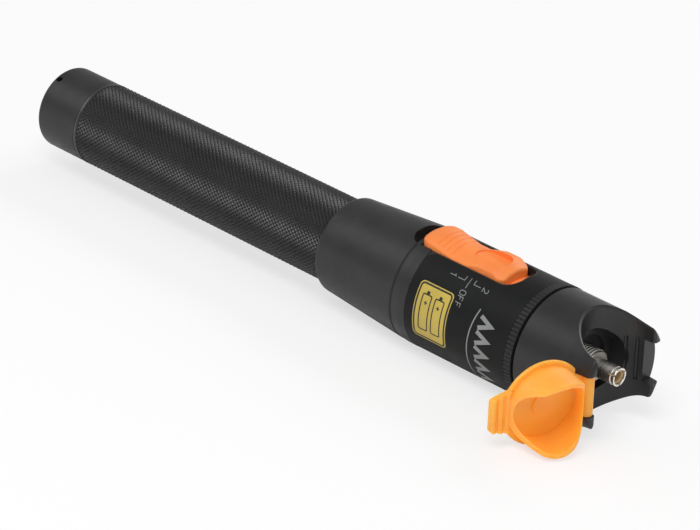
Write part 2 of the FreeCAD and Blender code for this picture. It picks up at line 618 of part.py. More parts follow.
def switch_body():
    base = BOARD_TOP + SEAT_GAP
    top = base + SWITCH_HEIGHT
    body = box(BUTTON_MIDDLE - SWITCH_LENGTH / 2, BUTTON_MIDDLE + SWITCH_LENGTH / 2,
               -SWITCH_WIDTH / 2, SWITCH_WIDTH / 2, base, top)
    reach = LEVER_SIZE / 2 + BUTTON_TRAVEL + LEVER_SIDE_GAP
    half = LEVER_SIZE / 2 + FIT_GAP
    return body.cut(box(BUTTON_MIDDLE - reach, BUTTON_MIDDLE + reach, -half, half,
                        top - SWITCH_POCKET_DEPTH, top + 1))


def switch_lever():
    half = LEVER_SIZE / 2
    foot = BOARD_TOP + 2 * SEAT_GAP + SWITCH_HEIGHT - SWITCH_POCKET_DEPTH
    return box(BUTTON_MIDDLE - half, BUTTON_MIDDLE + half, -half, half, foot, LEVER_TOP)


# ---- front battery contact ----
def contact_holder():
    return ring(HOLDER_REAR, HOLDER_REAR + HOLDER_THICKNESS, CONTACT_SHANK_DIAMETER / 2 + FIT_GAP,
                SLEEVE_CAVITY - FIT_GAP)


def front_contact():
    head_rear = CELLS_FRONT + SEAT_GAP
    nose = HOLDER_REAR + HOLDER_THICKNESS + CONTACT_NOSE
    return turned([(head_rear, 0), (head_rear, CONTACT_HEAD_DIAMETER / 2, 0.15),
                   (HOLDER_REAR - SEAT_GAP, CONTACT_HEAD_DIAMETER / 2),
                   (HOLDER_REAR - SEAT_GAP, CONTACT_SHANK_DIAMETER / 2),
                   (nose, CONTACT_SHANK_DIAMETER / 2), (nose, 0)])


# ---- nose shroud ----
def nose_shroud():
    module = MODULE_DIAMETER / 2 + FIT_GAP
    port = THREAD_DIAMETER / 2 + FIT_GAP
    spigot_rear = NOSE_REAR - NOSE_SPIGOT_LENGTH
    shell = turned([(spigot_rear, module), (spigot_rear, HEAD_SPIGOT), (NOSE_REAR, HEAD_SPIGOT),
                    (NOSE_REAR, SEAM - SEAM_CHAMFER), (NOSE_REAR + SEAM_CHAMFER, SEAM),
                    (NOSE_FRONT - NOSE_TAPER_LENGTH, SEAM), (NOSE_FRONT, NOSE_TIP, NOSE_EDGE_RADIUS),
                    (NOSE_FRONT, port), (PORT_WALL_REAR, port), (PORT_WALL_REAR, module)])
    notch = upright(NOTCH_RADIUS, NOTCH_X, 0, -HEAD, HEAD)
    ahead = box(NOTCH_X, NOSE_FRONT + 1, -NOTCH_RADIUS, NOTCH_RADIUS, -HEAD, HEAD)
    shell = bevel_notch(shell.cut(notch.fuse(ahead)))
    shell = shell.cut(rod(NOSE_FRONT - PORT_RECESS_SETBACK, NOSE_FRONT, PORT_RECESS_DIAMETER / 2))
    shell = shell.cut(rod(NOSE_FRONT - PORT_WELL_SETBACK, NOSE_FRONT, PORT_WELL_DIAMETER / 2))
    shell = shell.cut(box(NOSE_FRONT - FAR_GAP_DEPTH, NOSE_FRONT + 1, 0, HEAD,
                          -FAR_GAP_HEIGHT / 2, FAR_GAP_HEIGHT / 2))
    shell = shell.cut(box(NOSE_FRONT - NEAR_GAP_DEPTH, NOSE_FRONT + 1, -HEAD, 0,
                          -NEAR_GAP_HEIGHT / 2, NEAR_GAP_HEIGHT / 2))
    for setback in CATCH_GROOVE_SETBACKS:
        x = NOSE_FRONT - setback
        y = math.sqrt(NOTCH_RADIUS ** 2 - (NOTCH_X - x) ** 2)
        shell = shell.cut(upright(CATCH_GROOVE_RADIUS, x, y, -FAR_GAP_HEIGHT / 2, FAR_GAP_HEIGHT / 2))
    pin_end = HINGE_PIN_LENGTH / 2 + SEAT_GAP
    pin_hole = upright(HINGE_PIN_DIAMETER / 2 + SEAT_GAP / 2, HINGE_X, -HINGE_OFFSET, -pin_end, pin_end)
    return shell.cut(pin_hole).removeSplitter()


def bevel_notch(shell):
    """Bevel both notch rims, where the upright bore breaks through the outside."""
    rims = []
    for edge in shell.Edges:
        middle = edge.valueAt((edge.FirstParameter + edge.LastParameter) / 2)
        out = math.hypot(middle.y, middle.z)
        from_notch = math.hypot(middle.x - NOTCH_X, middle.y)
        on_surface = out > NOSE_TIP - 0.3
        if on_surface and abs(from_notch - NOTCH_RADIUS) < 0.05 and middle.x < NOTCH_X:
            rims.append(edge)
    return shell.makeChamfer(NOTCH_RIM, rims)


# ---- laser module ----
def laser_module():
    outer = MODULE_DIAMETER / 2
    diode_bore = DIODE_FLANGE_DIAMETER / 2 + FIT_GAP
    light_bore = DIODE_CAN_DIAMETER / 2 + FIT_GAP
    lens_bore = LENS_DIAMETER / 2 + FIT_GAP
    seat = MODULE_REAR + DIODE_SEAT_DEPTH
    pocket = MODULE_FRONT - LENS_POCKET_DEPTH
    return turned([(MODULE_REAR, diode_bore), (MODULE_REAR, outer, 0.4), (MODULE_FRONT, outer, 0.4),
                   (MODULE_FRONT, lens_bore), (pocket, lens_bore), (pocket, light_bore),
                   (seat, light_bore), (seat, diode_bore)])


def laser_diode():
    seat = MODULE_REAR + DIODE_SEAT_DEPTH - SEAT_GAP
    back = seat - DIODE_FLANGE_THICKNESS
    can = turned([(back, 0), (back, DIODE_FLANGE_DIAMETER / 2), (seat, DIODE_FLANGE_DIAMETER / 2),
                  (seat, DIODE_CAN_DIAMETER / 2), (seat + DIODE_CAN_LENGTH, DIODE_CAN_DIAMETER / 2, 0.3),
                  (seat + DIODE_CAN_LENGTH, 0)])
    for y, z in ((-DIODE_PIN_SPREAD, 0), (DIODE_PIN_SPREAD, 0), (0, -DIODE_PIN_SPREAD)):
        can = can.fuse(Part.makeCylinder(DIODE_PIN_DIAMETER / 2, DIODE_PIN_LENGTH + 0.2,
                                         Vector(back - DIODE_PIN_LENGTH, y, z), AXIS_X))
    return can.removeSplitter()


def focus_lens():
    rear = MODULE_FRONT - LENS_POCKET_DEPTH + SEAT_GAP
    edge = LENS_DIAMETER / 2
    curve = (edge ** 2 + LENS_CROWN ** 2) / (2 * LENS_CROWN)
    dome = Part.makeSphere(curve, Vector(rear + LENS_THICKNESS - curve, 0, 0), AXIS_X, -90, 90, 360)
    return dome.common(rod(rear, rear + LENS_THICKNESS, edge))


def lens_retainer():
    edge = LENS_DIAMETER / 2
    bore = RETAINER_BORE_DIAMETER / 2
    curve = (edge ** 2 + LENS_CROWN ** 2) / (2 * LENS_CROWN)
    dip = curve - math.sqrt(curve ** 2 - bore ** 2)
    rear = MODULE_FRONT - LENS_POCKET_DEPTH + LENS_THICKNESS - dip + 2 * SEAT_GAP
    front = rear + RETAINER_LENGTH
    half = RETAINER_SLOT_WIDTH / 2
    slot = box(front - RETAINER_SLOT_DEPTH, front + 1, -LENS_DIAMETER, LENS_DIAMETER, -half, half)
    return ring(rear, front, bore, edge).cut(slot)


# ---- ferrule port ----
def adapter_barrel():
    thread = THREAD_DIAMETER / 2
    front = NOSE_FRONT - THREAD_SETBACK
    bore = TUBE_DIAMETER / 2 + SEAT_GAP
    aperture = ADAPTER_APERTURE_DIAMETER / 2
    flange_front = ADAPTER_REAR + ADAPTER_FLANGE_THICKNESS
    aperture_end = ADAPTER_REAR + ADAPTER_APERTURE_LENGTH
    return turned([(ADAPTER_REAR, aperture), (ADAPTER_REAR, ADAPTER_FLANGE_DIAMETER / 2),
                   (flange_front, ADAPTER_FLANGE_DIAMETER / 2), (flange_front, thread),
                   (front - THREAD_CHAMFER, thread), (front, thread - THREAD_CHAMFER),
                   (front, bore), (aperture_end, bore), (aperture_end, aperture)])


def ferrule_tube():
    outer = TUBE_DIAMETER / 2
    bore = TUBE_BORE_DIAMETER / 2
    rear = ADAPTER_REAR + ADAPTER_APERTURE_LENGTH + SEAT_GAP
    neck_front = PORT_MOUTH - TUBE_LIP_LENGTH
    neck_rear = neck_front - TUBE_NECK_LENGTH
    tube = turned([(rear, bore), (rear, outer), (neck_rear, outer),
                   (neck_rear, outer - TUBE_NECK_DEPTH), (neck_front, outer - TUBE_NECK_DEPTH),
                   (neck_front, outer), (PORT_MOUTH, outer, 0.12), (PORT_MOUTH, bore, 0.12)])
    slit = box(PORT_MOUTH - TUBE_SLIT_LENGTH, PORT_MOUTH + 1, -TUBE_SLIT_WIDTH / 2,
               TUBE_SLIT_WIDTH / 2, 0, TUBE_DIAMETER)
    for angle in (60, 180, 300):
        cut = slit.copy()
        cut.rotate(ORIGIN, AXIS_X, angle)
        tube = tube.cut(cut)
    return tube


def split_sleeve():
    bore = FERRULE_DIAMETER / 2 + FERRULE_FIT_GAP
    front = PORT_MOUTH - SLEEVE_MOUTH_SETBACK
    rear = front - SLEEVE_BODY_LENGTH
    sleeve = ring(rear, front, bore, bore + SLEEVE_WALL)
    return sleeve.cut(box(rear - 1, front + 1, -SLEEVE_SPLIT_WIDTH / 2, SLEEVE_SPLIT_WIDTH / 2,
                          0, FERRULE_DIAMETER))


# ---- dust cap and its pin ----
def swing_open(shape):
    """Turn a shape from the closed position about the hinge to the open rest position."""
    shape.rotate(Vector(HINGE_X, -HINGE_OFFSET, 0), AXIS_Z, -CAP_OPEN_ANGLE)
    return shape


def dust_cap():
    face = CAP_FACE_X
    back = face + CAP_PLATE_THICKNESS
    plate_r = CAP_PLATE_DIAMETER / 2
    cup = CAP_CUP_DIAMETER / 2
    plate = turned([(face, 0), (face, plate_r, 0.25), (back, plate_r, 0.45), (back, 0)])
    lobe_centre = NOSE_FRONT - CAP_LOBE_SETBACK
    wall = ring(lobe_centre - CAP_LOBE_RADIUS, face + 0.2, cup - CAP_WALL, cup)
    wall = wall.common(upright(CAP_LOBE_RADIUS, lobe_centre, 0, -plate_r, plate_r))
    boss = rod(face - CAP_BOSS_HEIGHT, face + 0.2, CAP_BOSS_DIAMETER / 2)
    shoulders = box(face - 1, back + 1, -plate_r - 1, -CAP_SHOULDER_CUT, -plate_r, plate_r)
    shoulders = shoulders.cut(box(face - 2, back + 2, -plate_r - 2, 0,
                                  -KNUCKLE_HEIGHT / 2, KNUCKLE_HEIGHT / 2))
    plate = plate.cut(shoulders)
    knuckle = upright(KNUCKLE_DIAMETER / 2, HINGE_X, -HINGE_OFFSET,
                      -KNUCKLE_HEIGHT / 2, KNUCKLE_HEIGHT / 2)
    reach = KNUCKLE_DIAMETER / 2
    arm_points = [Vector(face, -CAP_SHOULDER_CUT, 0), Vector(back, -CAP_SHOULDER_CUT, 0),
                  Vector(back, -HINGE_OFFSET + 0.55, 0),
                  Vector(HINGE_X + reach * 0.85, -HINGE_OFFSET - reach * 0.52, 0),
                  Vector(HINGE_X, -HINGE_OFFSET, 0),
                  Vector(HINGE_X + 0.3, -HINGE_OFFSET + reach * 0.95, 0)]
    arm = Part.Face(Part.makePolygon(arm_points + [arm_points[0]])).extrude(Vector(0, 0, KNUCKLE_HEIGHT))
    arm.translate(Vector(0, 0, -KNUCKLE_HEIGHT / 2))
    cap = plate.fuse([wall, boss, knuckle, arm, cap_tab(face, back)]).removeSplitter()
    bore = upright(HINGE_PIN_DIAMETER / 2 + HINGE_RUNNING_GAP, HINGE_X, -HINGE_OFFSET,
                   -KNUCKLE_HEIGHT, KNUCKLE_HEIGHT)
    return swing_open(cap.cut(bore))


def cap_tab(face, back):
    """Thumb tab with ribs across its inner side."""
    root_y = CAP_CUP_DIAMETER / 2 - 1.2
    root = CAP_TAB_ROOT_HEIGHT / 2
    end = CAP_TAB_END_HEIGHT / 2
    wire = outline([(root_y, -root), (CAP_TAB_REACH, -end, 0.8), (CAP_TAB_REACH, end, 0.8),
                    (root_y, root)], lambda p: Vector(face, p.x, p.y))
    plan = Part.Face(wire)
    tab = plan.extrude(Vector(back - face, 0, 0))
    ribs = plan.extrude(Vector(-CAP_TAB_RIB_HEIGHT, 0, 0))
    beads = [upright(CAP_TAB_RIB_RADIUS, face + CAP_TAB_RIB_RADIUS - CAP_TAB_RIB_HEIGHT, y, -root, root)
             for y in CAP_TAB_RIBS]
    return tab.fuse([bead.common(ribs) for bead in beads])


def cap_hinge_pin():
    return upright(HINGE_PIN_DIAMETER / 2, HINGE_X, -HINGE_OFFSET,
                   -HINGE_PIN_LENGTH / 2, HINGE_PIN_LENGTH / 2)


PIECES = {
    "tail_cap": tail_cap,
    "tail_seal": tail_seal,
    "spring_plate": spring_plate,
    "battery_spring": battery_spring,
    "battery_tube": battery_tube,
    "cell_rear": lambda: cell(CELLS_REAR),
    "cell_front": lambda: cell(CELLS_REAR + CELL_LENGTH + CELL_NUB_LENGTH + SEAT_GAP),
    "tube_seal": tube_seal,
    "rear_sleeve": rear_sleeve,
    "contact_holder": contact_holder,
    "front_contact": front_contact,
    "head_housing": head_housing,
    "label_wrap": label_wrap,
    "lock_ring": lock_ring,
    "circuit_board": circuit_board,
    "board_screws": board_screws,
    "switch_body": switch_body,
    "switch_lever": switch_lever,
    "slide_button": slide_button,
    "nose_shroud": nose_shroud,
    "laser_module": laser_module,
    "laser_diode": laser_diode,
    "focus_lens": focus_lens,
    "lens_retainer": lens_retainer,
    "adapter_barrel": adapter_barrel,
    "ferrule_tube": ferrule_tube,
    "split_sleeve": split_sleeve,
    "cap_hinge_pin": cap_hinge_pin,
    "dust_cap": dust_cap,
}

os.makedirs("parts", exist_ok=True)
for name, make in PIECES.items():
    piece = make()
    piece.rotate(ORIGIN, AXIS_X, REST_ROLL)
    piece.exportStep("parts/" + name + ".step")
    low, high = piece.BoundBox, piece.BoundBox
    print("%-16s solids %d valid %s volume %8.2f  x %6.2f..%6.2f  y %6.2f..%6.2f  z %6.2f..%6.2f" % (
        name, len(piece.Solids), piece.isValid(), piece.Volume, low.XMin, high.XMax,
        low.YMin, high.YMax, low.ZMin, high.ZMax))
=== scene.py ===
# %% [markdown]
# # Visual fault locator: finishes, print, knurl, thread and studio
#
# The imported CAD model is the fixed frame.  This script dresses it.  Metal, mouldings, rubber and print get
# procedural materials.  The knurl of the tube and the thread of the port repeat, so node trees build them.
# Everything is in metres in the row frame: X runs from the tail to the nose and Z points up.  The pen lies
# rolled about X, on its head and on the rim of its open dust cap.

# %% Load the frame
import json
import math

import bmesh
import bpy
from mathutils import Matrix, Vector


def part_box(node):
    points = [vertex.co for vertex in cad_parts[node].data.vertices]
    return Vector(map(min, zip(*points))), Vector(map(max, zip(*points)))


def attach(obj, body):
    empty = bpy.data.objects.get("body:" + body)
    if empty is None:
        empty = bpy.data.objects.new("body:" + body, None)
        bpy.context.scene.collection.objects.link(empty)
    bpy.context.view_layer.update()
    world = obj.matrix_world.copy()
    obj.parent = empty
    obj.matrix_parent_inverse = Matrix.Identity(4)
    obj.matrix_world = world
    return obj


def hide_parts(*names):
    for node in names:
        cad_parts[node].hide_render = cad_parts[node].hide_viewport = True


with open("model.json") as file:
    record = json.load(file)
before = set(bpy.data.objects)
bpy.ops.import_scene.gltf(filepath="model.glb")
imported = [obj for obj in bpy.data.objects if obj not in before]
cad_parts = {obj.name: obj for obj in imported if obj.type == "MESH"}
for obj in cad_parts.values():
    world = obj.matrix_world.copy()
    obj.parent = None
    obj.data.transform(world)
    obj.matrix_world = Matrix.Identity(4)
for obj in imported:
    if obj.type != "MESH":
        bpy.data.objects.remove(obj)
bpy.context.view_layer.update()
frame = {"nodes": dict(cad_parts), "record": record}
NODES = frame["nodes"]
MM = 0.001

# %% [markdown]
# ## Sizes that come from the frame
#
# Positions are read from the CAD nodes, so that the dressing follows the model.  The dust cap's hinge is
# upright on the pen itself, so its axis in the row frame tells how far the pen is rolled.

# %% Read sizes from the CAD nodes
def low(node):
    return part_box(node)[0]


def high(node):
    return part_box(node)[1]


def cap_hinge():
    for joint in frame["record"]["behaviour"]["joints"]:
        if joint["name"] == "dust_cap_hinge":
            return joint


HINGE_AXIS = Vector(cap_hinge()["axis"])
ROLL = math.atan2(-HINGE_AXIS.y, HINGE_AXIS.z)
LABEL_RADIUS = high("label_wrap").y
LABEL_REAR = low("label_wrap").x
LABEL_FRONT = high("label_wrap").x
GRIP_REAR = low("battery_tube").x
GRIP_FRONT = low("rear_sleeve").x
GRIP_RADIUS = high("battery_tube").y
FLANGE_THICKNESS = 1.5 * MM
FLANGE_FRONT = low("adapter_barrel").x + FLANGE_THICKNESS
THREAD_RADIUS = 3.6 * MM
THREAD_FRONT = high("adapter_barrel").x
FLOOR_Z = low("head_housing").z


def on_pen(x, radius, angle):
    """Point at `angle` round the pen's axis, from the switch towards the dust cap's side."""
    return Vector((x, -radius * math.sin(angle + ROLL), radius * math.cos(angle + ROLL)))


print("roll %.2f degrees, label from %.4f to %.4f" % (math.degrees(ROLL), LABEL_REAR, LABEL_FRONT))

# %% [markdown]
# ## Material helpers
#
# Each material is a Principled shader fed by procedural textures in Object coordinates.  `grain` makes a
# noise of a given size in metres, optionally stretched, and `bump` turns it into a fine surface relief.

# %% Define the material helpers
def new_material(name, colour, roughness, metallic=0.0, **sockets):
    """Principled material with plain socket values; returns (material, shader)."""
    material = bpy.data.materials.new(name)
    material.use_nodes = True
    shader = material.node_tree.nodes["Principled BSDF"]
    shader.inputs["Base Color"].default_value = (*colour, 1.0)
    shader.inputs["Roughness"].default_value = roughness
    shader.inputs["Metallic"].default_value = metallic
    for socket, value in sockets.items():
        shader.inputs[socket.replace("_", " ")].default_value = value
    material.diffuse_color = (*colour, 1.0)
    return material, shader


def coordinates(material, stretch=(1.0, 1.0, 1.0)):
    """Object coordinates, stretched, as an output socket."""
    tree = material.node_tree
    source = tree.nodes.new("ShaderNodeTexCoord")
    mapping = tree.nodes.new("ShaderNodeMapping")
    mapping.inputs["Scale"].default_value = stretch
    tree.links.new(source.outputs["Object"], mapping.inputs["Vector"])
    return mapping.outputs["Vector"]


def grain(material, size, detail=3.0, stretch=(1.0, 1.0, 1.0), roughness=0.55):
    """Noise whose features are about `size` metres across."""
    tree = material.node_tree
    noise = tree.nodes.new("ShaderNodeTexNoise")
    noise.inputs["Scale"].default_value = 1.0 / size
    noise.inputs["Detail"].default_value = detail
    noise.inputs["Roughness"].default_value = roughness
    tree.links.new(coordinates(material, stretch), noise.inputs["Vector"])
    return noise.outputs["Fac"]


def spread(material, source, low_value, high_value, start=0.3, end=0.7):
    """Map a texture's middle range onto a range of values."""
    tree = material.node_tree
    node = tree.nodes.new("ShaderNodeMapRange")
    node.inputs["From Min"].default_value = start
    node.inputs["From Max"].default_value = end
    node.inputs["To Min"].default_value = low_value
    node.inputs["To Max"].default_value = high_value
    tree.links.new(source, node.inputs["Value"])
    return node.outputs["Result"]


def tint(material, source, dark, light, start=0.35, end=0.65):
    """Colour ramp between two tones, driven by a texture."""
    tree = material.node_tree
    ramp = tree.nodes.new("ShaderNodeValToRGB")
    ramp.color_ramp.elements[0].position = start
    ramp.color_ramp.elements[1].position = end
    ramp.color_ramp.elements[0].color = (*dark, 1.0)
    ramp.color_ramp.elements[1].color = (*light, 1.0)
    tree.links.new(source, ramp.inputs["Fac"])
    return ramp.outputs["Color"]


def bump(material, shader, source, strength, distance):
    """Relief of up to `distance` metres from a texture."""
    tree = material.node_tree
    node = tree.nodes.new("ShaderNodeBump")
    node.inputs["Strength"].default_value = strength
    node.inputs["Distance"].default_value = distance
    tree.links.new(source, node.inputs["Height"])
    tree.links.new(node.outputs["Normal"], shader.inputs["Normal"])
    return node


def finish(material, shader, colours=None, rough=None):
    """Link a colour or a roughness socket to the shader."""
    if colours:
        material.node_tree.links.new(colours, shader.inputs["Base Color"])
    if rough:
        material.node_tree.links.new(rough, shader.inputs["Roughness"])
    return material


print("material helpers ready")

# %% [markdown]
# ## Materials
#
# The alloy parts are satin black anodised, the nose is a black moulding with a slightly waxy sheen, the
# label is a matter film.  The switch is a flat salmon orange and the cap a softer, warmer orange with a
# painted glow.

# %% Make the materials
def satin_alloy(name, base, roughness):
    material, shader = new_material(name, base, roughness, Specular_IOR_Level=0.42)
    fine = grain(material, 0.16 * MM)
    wide = grain(material, 9 * MM, detail=2.0)
    bump(material, shader, fine, 0.25, 0.02 * MM)
    darker = tuple(v * 0.85 for v in base)
    lighter = tuple(v * 1.15 for v in base)
    return finish(material, shader, tint(material, wide, darker, lighter),
                  spread(material, grain(material, 2.5 * MM), roughness - 0.04, roughness + 0.05))


def moulding(name, base, roughness, relief=0.012, **sockets):
    material, shader = new_material(name, base, roughness, **sockets)
    bump(material, shader, grain(material, 0.22 * MM, detail=2.0), 0.3, relief * MM)
    darker = tuple(v * 0.93 for v in base)
    lighter = tuple(min(1.0, v * 1.05) for v in base)
    return finish(material, shader, tint(material, grain(material, 6 * MM), darker, lighter),
                  spread(material, grain(material, 3 * MM), roughness - 0.05, roughness + 0.05))


def turned_metal(name, base, roughness, marked=0.15):
    """Bright metal with fine turning marks round the pen's axis."""
    material, shader = new_material(name, base, roughness, metallic=1.0)
    marks = grain(material, 0.12 * MM, detail=4.0, stretch=(1.0, 0.04, 0.04))
    bump(material, shader, marks, marked, 0.01 * MM)
    dull = tuple(v * 0.86 for v in base)
    return finish(material, shader, tint(material, grain(material, 1.5 * MM), dull, base),
                  spread(material, marks, roughness * 0.7, roughness * 1.4))


MAT = {
    "black_alloy": satin_alloy("black_alloy", (0.020, 0.020, 0.0205), 0.40),
    "knurled_alloy": satin_alloy("knurled_alloy", (0.016, 0.016, 0.0165), 0.36),
    "black_moulding": moulding("black_moulding", (0.018, 0.018, 0.019), 0.36, Specular_IOR_Level=0.45),
    "label": moulding("label", (0.009, 0.0095, 0.0095), 0.46, relief=0.006, Specular_IOR_Level=0.16),
    "orange_button": moulding("orange_button", (1.0, 0.265, 0.055), 0.50, Subsurface_Weight=0.12,
                              Subsurface_Radius=(0.004, 0.0016, 0.0006), Subsurface_Scale=0.6),
    # The cap's emission is a painted glow: the cap shines faintly as if lit from within, though it is no
    # lamp.
    "orange_cap": moulding("orange_cap", (1.0, 0.365, 0.05), 0.42, Subsurface_Weight=0.6,
                           Subsurface_Radius=(0.006, 0.0030, 0.0008), Subsurface_Scale=1.2,
                           Emission_Color=(1.0, 0.36, 0.03, 1.0), Emission_Strength=0.13),
    "rubber_seal": moulding("rubber_seal", (0.012, 0.012, 0.012), 0.62),
    "nickel": turned_metal("nickel", (0.96, 0.94, 0.90), 0.22, marked=0.04),
    "polished_nickel": turned_metal("polished_nickel", (0.97, 0.93, 0.87), 0.30, marked=0.02),
    # Darker, duller nickel for the thread's root: painted shade in the grooves between the ridges.
    "thread_root_painted_shade": turned_metal("thread_root_painted_shade", (0.38, 0.36, 0.33), 0.36),
    "steel": turned_metal("steel", (0.62, 0.62, 0.62), 0.28),
    "brass": turned_metal("brass", (0.83, 0.63, 0.28), 0.30),
    "ceramic": moulding("ceramic", (0.55, 0.40, 0.20), 0.30),
    "board": moulding("board", (0.01, 0.10, 0.04), 0.40),
    "switch": moulding("switch", (0.03, 0.03, 0.03), 0.45),
    "holder": moulding("holder", (0.05, 0.05, 0.05), 0.55),
    "cell": moulding("cell", (0.10, 0.16, 0.26), 0.30),
    "ring_moulding": moulding("ring_moulding", (0.019, 0.019, 0.020), 0.50, Specular_IOR_Level=0.30),
    "bare_edge": turned_metal("bare_edge", (0.26, 0.26, 0.27), 0.34),
    "ink_yellow": moulding("ink_yellow", (0.56, 0.42, 0.075), 0.42, relief=0.004),
    "ink_grey": moulding("ink_grey", (0.24, 0.25, 0.25), 0.45, relief=0.004),
    "ink_black": moulding("ink_black", (0.014, 0.014, 0.014), 0.45, relief=0.004),
}
glass, glass_shader = new_material("glass", (0.95, 0.98, 1.0), 0.02, Transmission_Weight=1.0, IOR=1.52)
finish(glass, glass_shader, None, spread(glass, grain(glass, 1 * MM), 0.01, 0.04))
MAT["glass"] = glass
print("materials:", sorted(MAT))

# %% [markdown]
# ## Paint the CAD nodes
#
# Every node takes the material of its slot in the record.  The lock ring is a duller black than the nose,
# and the ferrule tube is polished.

# %% Paint the CAD nodes
for part in frame["record"]["subparts"]:
    mesh = NODES[part["node"]].data
    mesh.materials.clear()
    mesh.materials.append(MAT[part["material_slot"]])
NODES["lock_ring"].data.materials[0] = MAT["ring_moulding"]
NODES["ferrule_tube"].data.materials[0] = MAT["polished_nickel"]

# %% [markdown]
# ## Node tree helpers
#
# What repeats is built by a Geometry Nodes tree with named inputs.  The modifier's inputs are set by socket
# identifier, and the result is taken as a plain mesh, so no modifier is left on the finished piece.

# %% Define the node tree helpers
def new_tree(name, inputs):
    tree = bpy.data.node_groups.new(name, "GeometryNodeTree")
    tree.interface.new_socket("Geometry", in_out="OUTPUT", socket_type="NodeSocketGeometry")
    for label, kind in inputs:
        tree.interface.new_socket(label, in_out="INPUT", socket_type="NodeSocket" + kind)
    return tree, tree.nodes.new("NodeGroupInput"), tree.nodes.new("NodeGroupOutput")


def add_node(tree, kind, operation=None, **values):
    """New node; keyword values go to the inputs of that name or, as i0, i1, to the input of that index."""
    node = tree.nodes.new(kind)
    if operation:
        node.operation = operation
    for key, value in values.items():
        index = int(key[1:]) if key[1:].isdigit() else key.replace("_", " ")
        if isinstance(value, bpy.types.NodeSocket):
            tree.links.new(value, node.inputs[index])
        else:
            node.inputs[index].default_value = value
    return node


def grown(name, tree, values):
    """Run a tree on an empty mesh and return its result as a plain mesh."""
    holder = bpy.data.objects.new(name, bpy.data.meshes.new(name))
    bpy.context.scene.collection.objects.link(holder)
    modifier = holder.modifiers.new("grow", "NODES")
    modifier.node_group = tree
    for item in tree.interface.items_tree:
        if item.in_out == "INPUT" and item.name in values:
            modifier[item.identifier] = values[item.name]
    graph = bpy.context.evaluated_depsgraph_get()
    graph.update()
    mesh = bpy.data.meshes.new_from_object(holder.evaluated_get(graph))
    bpy.data.objects.remove(holder)
    return mesh


def piece(name, meshes, body, nodes=()):
    """Join meshes, with their materials, into one object that rides on a body."""
    bm = bmesh.new()
    materials = []
    for mesh in meshes:
        start = len(bm.faces)
        bm.from_mesh(mesh)
        bm.faces.ensure_lookup_table()
        places = []
        for material in mesh.materials:
            if material not in materials:
                materials.append(material)
            places.append(materials.index(material))
        for face in bm.faces[start:]:
            face.material_index = places[face.material_index]
    joined = bpy.data.meshes.new(name)
    bm.to_mesh(joined)
    bm.free()
    for material in materials:
        joined.materials.append(material)
    obj = bpy.data.objects.new(name, joined)
    bpy.context.scene.collection.objects.link(obj)
    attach(obj, body)
    if nodes:
        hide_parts(*nodes)
    return obj


print("node tree helpers ready")

# %% [markdown]
# ## Knurled tube
#
# The knurl is a lattice of small four-sided points.  One point is a tiny mesh.  The tree sets it round a
# ring, sets rings along the tube, and turns every second ring by half a step, so that the points interlock.
# The crests stand at the CAD tube's radius and the grooves are cut below it.  A bare bright edge and a
# plain band finish the tube at the tail cap's seam.

# %% Build the knurled tube
KNURL_ROUND = 60
KNURL_STEP = 0.60 * MM
KNURL_DEPTH = 0.26 * MM
KNURL_BORDER = 0.45 * MM
CREST_SHARE = 0.22
CORE_SINK = 0.01 * MM
ROUND_TOLERANCE = 0.02 * MM
EDGE_DROP = 0.12 * MM
EDGE_ROUND = 0.10 * MM
EDGE_WIDTH = 0.24 * MM


def knurl_point(step_angle):
    """One point of the knurl at the top of the tube: a rhombus with a small flat crest."""
    valley = GRIP_RADIUS - KNURL_DEPTH
    mesh = bpy.data.meshes.new("knurl_point")
    verts = []
    for radius, share in ((valley, 1.0), (GRIP_RADIUS, CREST_SHARE)):
        half = step_angle / 2 * share
        reach = KNURL_STEP * share
        verts += [(reach, 0.0, radius), (0.0, radius * math.sin(half), radius * math.cos(half)),
                  (-reach, 0.0, radius), (0.0, -radius * math.sin(half), radius * math.cos(half))]
    faces = [(4, 5, 6, 7)] + [(i, (i + 1) % 4, 4 + (i + 1) % 4, 4 + i) for i in range(4)]
    mesh.from_pydata(verts, [], faces)
    obj = bpy.data.objects.new("knurl_point", mesh)
    bpy.context.scene.collection.objects.link(obj)
    return obj


